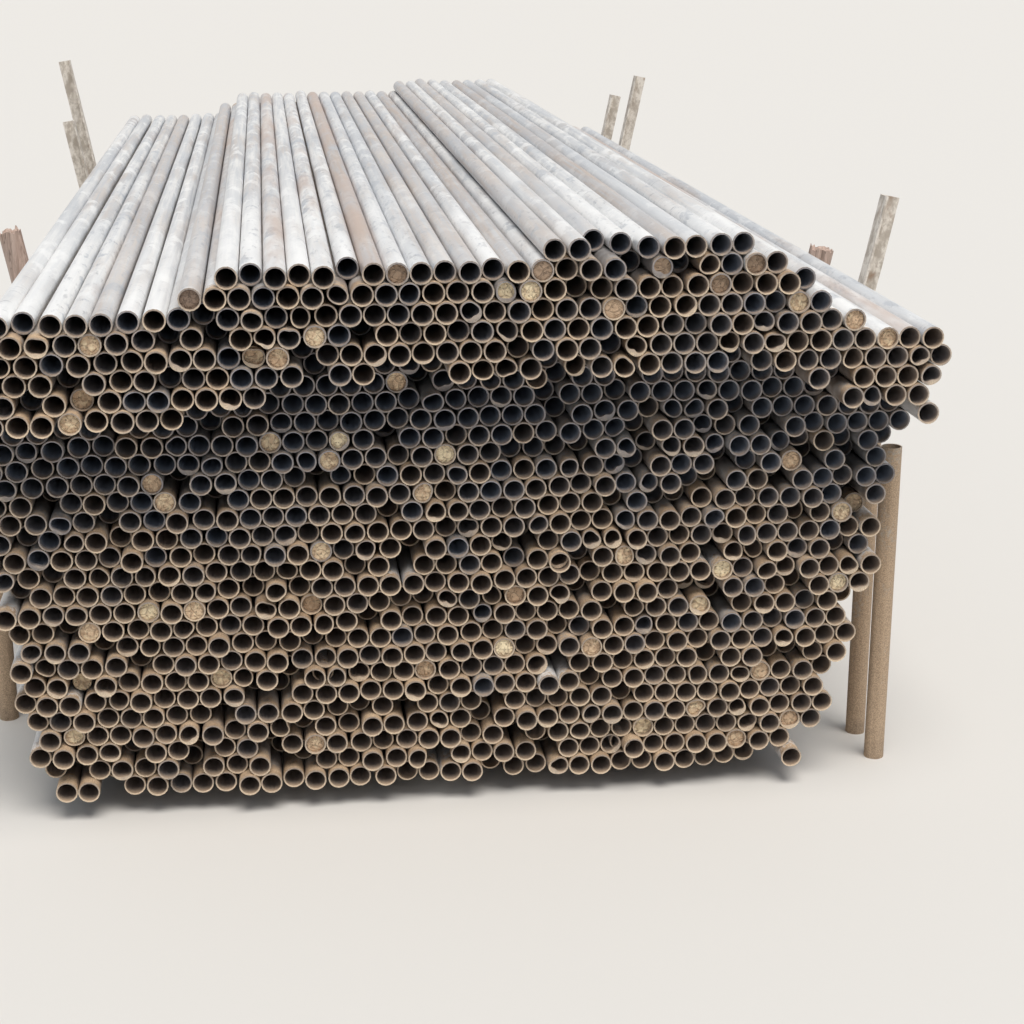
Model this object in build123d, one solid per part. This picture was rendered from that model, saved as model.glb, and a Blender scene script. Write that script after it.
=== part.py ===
"""A yard stack of galvanised steel tubes, on timber bearers, between posts and leaning stakes.

The tubes lie along Y, with their near ends towards -Y. X runs across the near face and Z is up.
Every tube is a solid of its own. Each one above the bottom row lies in the groove of the two below it,
and the tubes of one layer share a node. Sizes are in millimetres.
"""
import math
import os
import random

from build123d import *

# Tube stock: 1 1/2 inch pipe in 15 foot lengths
TUBE_OD = 48.3
TUBE_WALL = 3.2
TUBE_LENGTH = 4570.0

# How the tubes lie
REST_GAP = 0.3  # between pieces that rest on each other
ROW_SLACK = 1.2  # mean free play between two tubes side by side
WIDE_GAP = 9.0  # the play where a row has opened up
WIDE_SHARE = 0.07  # how often it has
LOWER_SCATTER = 10.0  # spread of the tube ends about the face
UPPER_SCATTER = 7.0
SCATTER_LIMIT = 2.4  # the most, in spreads
LOWER_DEEP_SHARE = 0.13  # how many tubes sit well back in the face
UPPER_DEEP_SHARE = 0.09
DEEP_SETBACK = (22.0, 125.0)  # how far back, from the least to the most
UPPER_OVERHANG = 105.0  # how far the upper lift stands out past the lower one
PILE_SEED = 11

# Outline of the near face, through the outermost tube axes.
# Flanks: (height over the bottom row, distance out from the middle of the base)
LEFT_FLANK = [(0, 852), (60, 878), (310, 920), (870, 1025), (985, 975), (1085, 915)]
RIGHT_FLANK = [(0, 852), (50, 880), (220, 942), (450, 1003), (780, 1056), (870, 1095), (975, 1122)]
# Crown: (distance from the middle of the base, height over the bottom row)
CROWN = [
    (-900, 1105), (-520, 1105), (-515, 1145), (-470, 1145), (-465, 1185), (240, 1190),
    (262, 1235), (668, 1235), (680, 1190), (745, 1180), (815, 1135), (860, 1092),
    (930, 1050), (1088, 1012), (1118, 966),
]
# Where the upper lift begins, in the same terms as the crown
LIFT_LINE = [(-900, 855), (-590, 850), (-130, 958), (790, 938), (950, 852), (1110, 828)]

# Dried mud in some of the near ends: the clearest ones, in the same terms, and a share of the rest
PLUG_PLACES = [
    (-485, 1101), (-257, 1033), (-333, 984), (177, 1113), (467, 1153), (593, 1118),
    (792, 1068), (-67, 1160), (221, 1170), (903, 1040), (972, 1010), (-211, 777),
    (36, 749), (-13, 664), (-590, 652), (-601, 695), (-75, 899), (-259, 536),
    (181, 412), (658, 482), (922, 583), (926, 425), (617, 356), (-642, 400),
    (-769, 366), (149, 294), (-8, 227), (477, 98), (702, 56), (-257, 69), (756, 203),
]
PLUG_SHARE = 0.022
MARKED_SETBACK = 0.1  # how much of its setback a marked tube keeps
PLUG_DEPTH = 45.0
PLUG_CLEARANCE = 0.3
PLUG_SETBACK = 3.0
PLUG_SCATTER = 9.0

# Timber bearers across the underside
BEARER_HEIGHT = 47.0
BEARER_WIDTH = 100.0
BEARER_COUNT = 3
BEARER_END_MARGIN = 12.0  # past the outer tubes of the bottom row
BEARER_INSET = 420.0  # from the tube ends to the middle of the end bearers
BEARER_ARRIS = 4.0

# Upright posts, cut from round tube
POST_OD = 48.3
POST_WALL = 3.2
POST_HEIGHT = 775.0
POST_DEPTHS = {"post_right_front": 115.0, "post_right_second": 265.0, "post_left": 620.0}

# Leaning stakes, of equal steel angle, open towards the tubes' near ends.
# Each has its place along the stack, back from the near face, and its height.
STAKE_LEG = 50.0
STAKE_THICKNESS = 6.0
STAKE_ROOT_RADIUS = 6.0
STAKE_TOE_RADIUS = 3.0
STAKE_LEAN_RIGHT = 12.0
STAKE_LEAN_LEFT = 10.5
RIGHT_STAKES = {
    "stake_right_near": (590.0, 1285.0),
    "stake_right_far": (3950.0, 1350.0),
    "stake_right_end": (4380.0, 1240.0),
}
LEFT_STAKES = {"stake_left_mid": (3990.0, 1190.0), "stake_left_far": (4380.0, 1405.0)}

# Round timber stumps that lean along the flanks, placed in the same way
STUMP_DIAMETER = 70.0
STUMP_CHAMFER = 8.0
RIGHT_STUMPS = {"stump_right": (1095.0, 1100.0)}
LEFT_STUMPS = {"stump_left": (1890.0, 1075.0)}

TUBE_R = TUBE_OD / 2
BORE_R = TUBE_R - TUBE_WALL
NEST = TUBE_OD + REST_GAP  # between the axes of two tubes that touch
FIRST_ROW_Z = BEARER_HEIGHT + REST_GAP + TUBE_R
SAME_PLACE = 1e-6


def along(points, t):
    """The value at t of a line through (t, value) points, level past its ends."""
    if t <= points[0][0]:
        return points[0][1]
    for (t0, v0), (t1, v1) in zip(points, points[1:]):
        if t <= t1:
            return v0 + (v1 - v0) * (t - t0) / (t1 - t0)
    return points[-1][1]


def bottom_grooves(rng):
    """The bottom row's lattice, wider than the pile: tubes nearly side by side, with uneven play."""
    widest = max(out for _, out in LEFT_FLANK + RIGHT_FLANK)
    rows = math.ceil(max(height for _, height in CROWN) / (NEST * math.sin(math.pi / 3)))
    reach = widest + rows * NEST / 2
    xs = [-reach]
    while xs[-1] < reach:
        play = rng.expovariate(1 / ROW_SLACK)
        if rng.random() < WIDE_SHARE:
            play += WIDE_GAP
        xs.append(xs[-1] + NEST + min(play, WIDE_GAP + ROW_SLACK))
    return [(x, FIRST_ROW_Z) for x in xs]


def groove(a, b):
    """The axis of a tube that lies in the groove of tubes a and b."""
    dx, dz = b[0] - a[0], b[1] - a[1]
    half = math.hypot(dx, dz) / 2
    rise = math.sqrt(NEST**2 - half**2)
    return (a[0] + b[0]) / 2 - dz / 2 * rise / half, (a[1] + b[1]) / 2 + dx / 2 * rise / half


def in_outline(x, z):
    """Whether an axis lies inside the outline of the near face."""
    height = z - FIRST_ROW_Z
    if height > along(CROWN, x):
        return False
    return -along(LEFT_FLANK, height) <= x <= along(RIGHT_FLANK, height)


def in_upper_lift(x, z):
    """Whether an axis lies over the line where the upper lift begins."""
    return z - FIRST_ROW_Z > along(LIFT_LINE, x)


def near_end(rng, is_upper):
    """The place along Y of a tube's near end, from the face of the lower lift."""
    spread = UPPER_SCATTER if is_upper else LOWER_SCATTER
    if rng.random() < (UPPER_DEEP_SHARE if is_upper else LOWER_DEEP_SHARE):
        back = rng.uniform(*DEEP_SETBACK)
    else:
        back = max(-SCATTER_LIMIT * spread, min(rng.gauss(0, spread), SCATTER_LIMIT * spread))
    return back - UPPER_OVERHANG if is_upper else back


def plug_marked(rows):
    """Plugs the tubes nearest to the marked places, and brings their ends up to the face."""
    spots = {(r, i): (x, z - FIRST_ROW_Z) for r, row in enumerate(rows) for i, (x, z, _, _) in enumerate(row)}
    for place in PLUG_PLACES:
        r, i = min(spots, key=lambda spot: math.dist(spots[spot], place))
        x, z, y, _ = rows[r][i]
        face = -UPPER_OVERHANG if in_upper_lift(x, z) else 0.0
        rows[r][i] = (x, z, face + (y - face) * MARKED_SETBACK, True)
    return rows


def lay_tubes():
    """Rows of tubes, bottom first: each tube is (x, z, y of its near end, is its mouth plugged)."""
    rng = random.Random(PILE_SEED)
    lattice, kept_below, rows = bottom_grooves(rng), None, []
    while True:
        kept, row = set(), []
        for i, (x, z) in enumerate(lattice):
            carried = kept_below is None or i in kept_below or i + 1 in kept_below
            if not (carried and in_outline(x, z)):
                continue
            kept.add(i)
            row.append((x, z, near_end(rng, in_upper_lift(x, z)), rng.random() < PLUG_SHARE))
        if not row:
            return plug_marked(rows)
        rows.append(row)
        lattice, kept_below = [groove(a, b) for a, b in zip(lattice, lattice[1:])], kept


def make_tube():
    """One tube, from its near end at the origin along +Y."""
    ring = Plane.XZ * (Circle(TUBE_R) - Circle(BORE_R))
    return extrude(ring, amount=-TUBE_LENGTH).solid()


def make_plug():
    """The mud in one mouth, set like the tube."""
    disc = Plane.XZ * Circle(BORE_R - PLUG_CLEARANCE)
    return extrude(disc, amount=-PLUG_DEPTH).solid()


def make_bearer(row):
    """A squared timber across the underside, as long as the bottom row is wide, at y = 0."""
    left = row[0][0] - TUBE_R - BEARER_END_MARGIN
    right = row[-1][0] + TUBE_R + BEARER_END_MARGIN
    log = Box(right - left, BEARER_WIDTH, BEARER_HEIGHT, align=(Align.MIN, Align.CENTER, Align.MIN))
    edges = log.edges().filter_by(Axis.X).group_by(Axis.Z)[-1]
    return Pos(left, 0, 0) * chamfer(edges, BEARER_ARRIS)


def post_reach(rows, side):
    """How far out the inner side of a post stands, clear of every tube beside it."""
    near = TUBE_R + REST_GAP
    reach = [
        side * x + math.sqrt(near**2 - max(z - POST_HEIGHT, 0) ** 2)
        for row in rows for x, z, _, _ in row if z < POST_HEIGHT + near
    ]
    return max(reach)


def make_post(rows, side):
    """An upright round post whose side rests against the widest tube that it passes."""
    ring = Circle(POST_OD / 2) - Circle(POST_OD / 2 - POST_WALL)
    x = side * (post_reach(rows, side) + POST_OD / 2)
    return Pos(x, 0, 0) * extrude(ring, amount=POST_HEIGHT)


def foot_reach(rows, side, lean):
    """How far out, at floor level, a straight edge leaning by lean degrees clears every tube."""
    slope = math.tan(math.radians(lean))
    edge_gap = (TUBE_R + REST_GAP) / math.cos(math.radians(lean))
    return max(side * x - slope * z for row in rows for x, z, _, _ in row) + edge_gap


def corners_at(section, places):
    """The vertices of a flat section that lie at the given (x, y) places."""
    return [v for v in section.vertices() for x, y in places if math.hypot(v.X - x, v.Y - y) < SAME_PLACE]


def make_angle(length):
    """Upright angle with rolled corners, the flat back of one leg on x = 0."""
    inner = STAKE_LEG - STAKE_THICKNESS
    legs = Polyline(
        (0, 0), (STAKE_THICKNESS, 0), (STAKE_THICKNESS, inner),
        (STAKE_LEG, inner), (STAKE_LEG, STAKE_LEG), (0, STAKE_LEG), close=True,
    )
    section = make_face(legs)
    section = fillet(corners_at(section, [(STAKE_THICKNESS, 0), (STAKE_LEG, inner)]), STAKE_TOE_RADIUS)
    section = fillet(corners_at(section, [(STAKE_THICKNESS, inner)]), STAKE_ROOT_RADIUS)
    return extrude(section, amount=length)


def make_log(length):
    """Upright round timber that touches x = 0, with a worn upper edge."""
    log = Cylinder(STUMP_DIAMETER / 2, length, align=(Align.MIN, Align.CENTER, Align.MIN))
    return chamfer(log.edges().filter_by(GeomType.CIRCLE).sort_by(Axis.Z)[-1], STUMP_CHAMFER)


def lean_out(rows, side, lean, height, make_piece):
    """A straight piece that leans out along a flank, against the tubes, its foot cut level at the floor."""
    piece = Rot(0, lean, 0) * make_piece(height / math.cos(math.radians(lean)))
    piece = split(piece, Plane.XY, keep=Keep.TOP)
    piece = Pos(foot_reach(rows, side, lean), 0, 0) * piece
    return piece if side > 0 else mirror(piece, Plane.YZ)


def make_stack():
    """Every node of the stack, by name, with its place in the yard frame."""
    rows = lay_tubes()
    tube, plug = make_tube(), make_plug()
    nodes = {}
    for k, row in enumerate(rows, 1):
        tubes = [tube.moved(Location((x, y, z))) for x, z, y, _ in row]
        nodes[f"tube_layer_{k:02d}"] = tubes
    rng = random.Random(PILE_SEED)
    nodes["mud_plugs"] = [
        plug.moved(Location((x, y + PLUG_SETBACK + rng.uniform(0, PLUG_SCATTER), z)))
        for row in rows for x, z, y, plugged in row if plugged
    ]
    bearer = make_bearer(rows[0])
    span = TUBE_LENGTH - 2 * BEARER_INSET
    for k in range(BEARER_COUNT):
        y = BEARER_INSET + span * k / (BEARER_COUNT - 1)
        nodes[f"bearer_{k + 1}"] = [Pos(0, y, 0) * bearer]
    for name, depth in POST_DEPTHS.items():
        side = 1 if "right" in name else -1
        nodes[name] = [Pos(0, depth, 0) * make_post(rows, side)]
    for side, lean, make_piece, places in (
        (1, STAKE_LEAN_RIGHT, make_angle, RIGHT_STAKES),
        (-1, STAKE_LEAN_LEFT, make_angle, LEFT_STAKES),
        (1, STAKE_LEAN_RIGHT, make_log, RIGHT_STUMPS),
        (-1, STAKE_LEAN_LEFT, make_log, LEFT_STUMPS),
    ):
        for name, (depth, height) in places.items():
            nodes[name] = [Pos(0, depth, 0) * lean_out(rows, side, lean, height, make_piece)]
    return nodes


def main():
    os.makedirs("parts", exist_ok=True)
    nodes = make_stack()
    # the origin is the middle of the stack's box, at floor level
    box = Compound([solid for solids in nodes.values() for solid in solids]).bounding_box()
    home = Location((-box.center().X, -box.center().Y, -box.min.Z))
    for name, solids in nodes.items():
        shape = Compound([solid.moved(home) for solid in solids])
        export_step(shape, f"parts/{name}.step")
    print("tubes by layer", [len(s) for n, s in nodes.items() if n.startswith("tube_layer")])
    print("size", box.size, "home", home.position)


main()
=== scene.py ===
import logging
import math
from dataclasses import dataclass, field
from enum import Enum
from functools import cached_property

import bpy
import numpy as np
from bpy.types import Material, Node, NodeTree, Object
from bpy.types import NodeSocket as Socket
from bpy.types import bpy_prop_collection as Outputs
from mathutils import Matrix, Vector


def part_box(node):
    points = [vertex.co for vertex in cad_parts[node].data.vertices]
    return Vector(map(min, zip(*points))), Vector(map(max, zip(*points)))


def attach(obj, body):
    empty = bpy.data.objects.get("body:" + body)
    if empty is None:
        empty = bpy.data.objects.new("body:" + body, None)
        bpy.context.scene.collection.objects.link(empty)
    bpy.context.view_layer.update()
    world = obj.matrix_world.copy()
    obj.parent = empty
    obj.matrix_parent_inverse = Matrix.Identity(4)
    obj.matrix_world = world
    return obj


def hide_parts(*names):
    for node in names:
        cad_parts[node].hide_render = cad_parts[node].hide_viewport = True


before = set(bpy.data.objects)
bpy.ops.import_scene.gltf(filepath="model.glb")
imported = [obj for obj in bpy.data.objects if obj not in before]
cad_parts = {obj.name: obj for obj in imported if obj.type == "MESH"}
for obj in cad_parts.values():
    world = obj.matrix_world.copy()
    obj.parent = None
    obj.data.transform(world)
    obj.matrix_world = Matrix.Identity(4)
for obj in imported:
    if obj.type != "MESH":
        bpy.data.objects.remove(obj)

LOG = logging.getLogger("tube_stack")
SEED = 4570
ROOT = "root"
TUBE_LENGTH = 4.57
FULL_TURN = 2 * math.pi

Array = np.ndarray
Colour = tuple[float, float, float, float]
Rng = np.random.Generator


# Meshes: points and faces as whole arrays.


def mesh_piece(
    name: str, points: Array, faces: list[Array], marks: dict[str, Array] | None = None, smooth_within: float = 40.0
) -> Object:
    """Makes one object from whole arrays.

    Args:
        name: the object's name.
        points: (n, 3) vertices.
        faces: blocks of faces, each (m, 3) or (m, 4) vertex numbers.
        marks: values on the vertices, by attribute name: (n, 3) or (n, 4).
        smooth_within: edges that turn by more degrees than this stay sharp.

    Returns:
        The object, in the scene at the origin.
    """
    mesh = bpy.data.meshes.new(name)
    corners = [face for block in faces for face in block.tolist()]
    mesh.from_pydata(points.tolist(), [], corners, shade_flat=False)
    for mark, values in (marks or {}).items():
        is_colour = values.shape[1] == 4
        layer = mesh.attributes.new(mark, "FLOAT_COLOR" if is_colour else "FLOAT_VECTOR", "POINT")
        layer.data.foreach_set("color" if is_colour else "vector", values.astype(np.float32).ravel())
    mesh.validate()
    mesh.set_sharp_from_angle(angle=math.radians(smooth_within))
    piece = bpy.data.objects.new(name, mesh)
    bpy.context.scene.collection.objects.link(piece)
    return piece


def around(sides: int) -> Array:
    """Angles evenly spread over a full turn."""
    return np.linspace(0, FULL_TURN, sides, endpoint=False)


def ring_faces(rings: int, sides: int, loops: bool) -> Array:
    """Quads between successive rings of vertices; with loops, the last ring joins the first.

    Returns:
        (m, 4) vertex numbers, facing out of a wall whose rings advance along +Y and whose
        sides turn from +X to +Z.
    """
    last = rings if loops else rings - 1
    ring, side = np.meshgrid(np.arange(last), np.arange(sides), indexing="ij")
    after, beside = (ring + 1) % rings, (side + 1) % sides
    quads = [ring * sides + side, after * sides + side, after * sides + beside, ring * sides + beside]
    return np.stack(quads, -1).reshape(-1, 4)


def fan_faces(hub: int, start: int, sides: int, turned: bool = False) -> Array:
    """Triangles from a hub vertex to a closed ring of vertices that begins at start."""
    ring = start + np.arange(sides)
    after = np.roll(ring, -1)
    return np.stack([np.full_like(ring, hub), *((after, ring) if turned else (ring, after))], -1)


def waves(points: Array, scale: float, seed: int) -> Array:
    """Smooth unevenness from -1 to 1: a sum of sines over turned directions, finer ones weaker."""
    layers, finer, weaker, level = 4, 1.9, 0.6, 1.7
    rng = np.random.default_rng(seed)
    total, weight = np.zeros(points.shape[:-1]), 0.0
    for layer in range(layers):
        turn = rng.normal(size=(3, 3)) * scale * finer**layer
        phase = rng.uniform(0, FULL_TURN, 3)
        strength = weaker**layer
        total = total + strength * np.sin(points @ turn + phase).mean(-1)
        weight += strength
    return total / weight * level


def named(start: str) -> list[str]:
    """The CAD nodes whose names begin so, in order."""
    return sorted(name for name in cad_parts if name.startswith(start))


def flat_ends(name: str) -> Array:
    """Every round flat end in a CAD node: the mean (x, y, z) of the vertices that share a depth."""
    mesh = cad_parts[name].data
    flat = np.empty(len(mesh.vertices) * 3, dtype=np.float32)
    mesh.vertices.foreach_get("co", flat)
    single = np.unique(np.round(flat.reshape(-1, 3).astype(float), 7), axis=0)
    which = np.unique(single[:, 1], return_inverse=True)[1]
    counts = np.bincount(which)
    return np.stack([np.bincount(which, weights=single[:, axis]) / counts for axis in range(3)], -1)


# Node trees: what the materials are built from.


class Tree:
    """Adds nodes to one node tree and links them by value."""

    def __init__(self, tree: NodeTree) -> None:
        """Takes the tree to fill."""
        self.tree = tree

    def feed(self, node: Node, sockets: dict) -> None:
        """Gives a node its inputs, by name or number: each a value, or another node's output."""
        for key, value in sockets.items():
            if isinstance(value, Socket):
                self.tree.links.new(value, node.inputs[key])
            else:
                node.inputs[key].default_value = value

    def add(self, kind: str, sockets: dict | None = None, **settings) -> Node:
        """Adds a node by its type name, with its inputs, as for feed, and its own properties."""
        node = self.tree.nodes.new(kind)
        for setting, value in settings.items():
            setattr(node, setting, value)
        self.feed(node, sockets or {})
        return node

    def maths(self, operation: str, a, b=0.0) -> Socket:
        """The result of one sum on two numbers."""
        return self.add("ShaderNodeMath", {0: a, 1: b}, operation=operation).outputs[0]

    def times(self, a, b) -> Socket:
        """One number times another."""
        return self.maths("MULTIPLY", a, b)

    def plus(self, a, b) -> Socket:
        """One number plus another."""
        return self.maths("ADD", a, b)

    def span(self, value, low, high, to_low: float = 0.0, to_high: float = 1.0) -> Socket:
        """Carries low..high over to to_low..to_high, held level past both ends."""
        sockets = {"Value": value, "From Min": low, "From Max": high, "To Min": to_low, "To Max": to_high}
        return self.add("ShaderNodeMapRange", sockets).outputs["Result"]

    def blend(self, amount, below, above) -> Socket:
        """Lays one colour over another by amount."""
        return self.add("ShaderNodeMix", {0: amount, 6: below, 7: above}, data_type="RGBA").outputs[2]

    def stretched(self, vector, scale: tuple[float, float, float]) -> Socket:
        """The vector, scaled by axis."""
        return self.add("ShaderNodeVectorMath", {0: vector, 1: scale}, operation="MULTIPLY").outputs[0]

    def noise(self, vector, scale, detail: float = 4.0, roughness: float = 0.55) -> Socket:
        """Plain noise, about 0.5."""
        sockets = {"Vector": vector, "Scale": scale, "Detail": detail, "Roughness": roughness}
        return self.add("ShaderNodeTexNoise", sockets).outputs[0]


def group(name: str, inputs: dict[str, str], outputs: dict[str, str]) -> tuple[Tree, Outputs, Node]:
    """Starts a shader node group, given the socket types of its inputs and outputs by name.

    Returns:
        The tree to fill, its inputs as sockets to read, and the node that takes its outputs.
    """
    made = bpy.data.node_groups.new(name, "ShaderNodeTree")
    for way, sockets in (("INPUT", inputs), ("OUTPUT", outputs)):
        for label, kind in sockets.items():
            made.interface.new_socket(label, in_out=way, socket_type=kind)
    start, end = made.nodes.new("NodeGroupInput"), made.nodes.new("NodeGroupOutput")
    return Tree(made), start.outputs, end


FLOAT, VECTOR, COLOUR = "NodeSocketFloat", "NodeSocketVector", "NodeSocketColor"


class Effects:
    """The shader groups that several finishes share, each built once, when it is first used."""

    @cached_property
    def patches(self) -> NodeTree:
        """Blotches: noise at Size per metre, its middle part stretched to 0..1 by Edge, raised by More."""
        middle = 0.6
        inputs = {"Vector": VECTOR, "Size": FLOAT, "More": FLOAT, "Edge": FLOAT}
        tree, reads, end = group("patches", inputs, {"Mask": FLOAT, "Noise": FLOAT})
        rough = tree.noise(reads["Vector"], reads["Size"], 4.0, 0.62)
        raised = tree.plus(rough, reads["More"])
        low = tree.maths("SUBTRACT", middle, reads["Edge"])
        tree.feed(end, {"Mask": tree.span(raised, low, tree.plus(middle, reads["Edge"])), "Noise": rough})
        return tree.tree

    @cached_property
    def scoring(self) -> NodeTree:
        """Thin scratches: the narrow valleys of stretched noise, where it passes its middle value."""
        inputs = {"Vector": VECTOR, "Size": FLOAT, "Width": FLOAT, "Share": FLOAT}
        tree, reads, end = group("scoring", inputs, {"Mask": FLOAT})
        lines = tree.noise(reads["Vector"], reads["Size"], 2.0, 0.5)
        thin = tree.span(tree.maths("ABSOLUTE", tree.maths("SUBTRACT", lines, 0.5)), 0.0, reads["Width"], 1.0, 0.0)
        where = tree.noise(reads["Vector"], tree.times(reads["Size"], 0.21), 1.0, 0.5)
        some = tree.span(tree.plus(where, tree.maths("SUBTRACT", reads["Share"], 1.0)), 0.0, 0.08)
        tree.feed(end, {"Mask": tree.times(thin, some)})
        return tree.tree

    @cached_property
    def dust(self) -> NodeTree:
        """A loose layer over a finish: its colour and roughness take over where Amount and fine noise let it."""
        dust_roughness = 0.93
        inputs = {"Vector": VECTOR, "Amount": FLOAT, "Colour": COLOUR, "Roughness": FLOAT, "Layer": COLOUR}
        tree, reads, end = group("dust", inputs, {"Colour": COLOUR, "Roughness": FLOAT, "Height": FLOAT})
        grain = tree.noise(reads["Vector"], 130.0, 2.0, 0.65)
        lies = tree.span(tree.plus(grain, tree.maths("SUBTRACT", reads["Amount"], 0.5)), 0.32, 0.68)
        shade = tree.span(tree.noise(reads["Vector"], 420.0, 0.0), 0.3, 0.7, 0.72, 1.16)
        layer = tree.add("ShaderNodeVectorMath", {0: reads["Layer"], "Scale": shade}, operation="SCALE").outputs[0]
        rough = tree.add("ShaderNodeMix", {0: lies, 2: reads["Roughness"], 3: dust_roughness}, data_type="FLOAT")
        colour = tree.blend(lies, reads["Colour"], layer)
        tree.feed(end, {"Colour": colour, "Roughness": rough.outputs[0], "Height": tree.times(lies, grain)})
        return tree.tree


class Finish:
    """A material under construction: its tree, its shader and the shared effects."""

    def __init__(self, name: str, effects: Effects) -> None:
        """Makes an empty node material with a Principled shader."""
        self.material = bpy.data.materials.new(name)
        self.material.use_nodes = True
        self.material.node_tree.nodes.clear()
        self.tree = Tree(self.material.node_tree)
        self.effects = effects
        self.shader = self.tree.add("ShaderNodeBsdfPrincipled")
        self.tree.add("ShaderNodeOutputMaterial", {0: self.shader.outputs[0]})
        self.place = self.tree.add("ShaderNodeTexCoord").outputs["Object"]

    def rising(self, reach: float, at_foot: float, above: float) -> Socket:
        """A number that goes from one value at the floor to another at a height, and stays there."""
        up = self.tree.add("ShaderNodeSeparateXYZ", {0: self.place}).outputs[2]
        return self.tree.span(up, 0.0, reach, at_foot, above)

    def effect(self, kind: NodeTree, sockets: dict) -> Outputs:
        """Places a shared effect with its own values and gives its outputs."""
        return self.tree.add("ShaderNodeGroup", sockets, node_tree=kind).outputs

    def patches(self, vector, size: float, edge: float, more) -> Outputs:
        """Places blotches: their pattern's vector, size per metre, softness and share."""
        return self.effect(self.effects.patches, {"Vector": vector, "Size": size, "Edge": edge, "More": more})

    def scores(self, vector, size: float, width: float, share: float) -> Socket:
        """The mask of thin scratches: their pattern's vector, size per metre, width and share."""
        sockets = {"Vector": vector, "Size": size, "Width": width, "Share": share}
        return self.effect(self.effects.scoring, sockets)["Mask"]

    def dusted(self, vector, amount, colour, roughness: float, layer) -> Outputs:
        """Lays dust over a colour and its roughness."""
        sockets = {"Vector": vector, "Amount": amount, "Colour": colour, "Roughness": roughness, "Layer": layer}
        return self.effect(self.effects.dust, sockets)

    def mark(self, name: str) -> Outputs:
        """Reads a value that the mesh carries on its vertices."""
        return self.tree.add("ShaderNodeAttribute", attribute_name=name, attribute_type="GEOMETRY").outputs

    def surface(self, colour, roughness, metallic, height, depth: float) -> Material:
        """Feeds the shader, each input a value or a socket, and gives the finished material.

        The height is the relief, and depth is how deep a height of 1 is, in metres.
        """
        bump = self.tree.add("ShaderNodeBump", {"Height": height, "Distance": depth, "Strength": 1.0})
        feeds = {"Base Color": colour, "Roughness": roughness, "Metallic": metallic, "Normal": bump.outputs[0]}
        self.tree.feed(self.shader, feeds)
        return self.material


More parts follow.
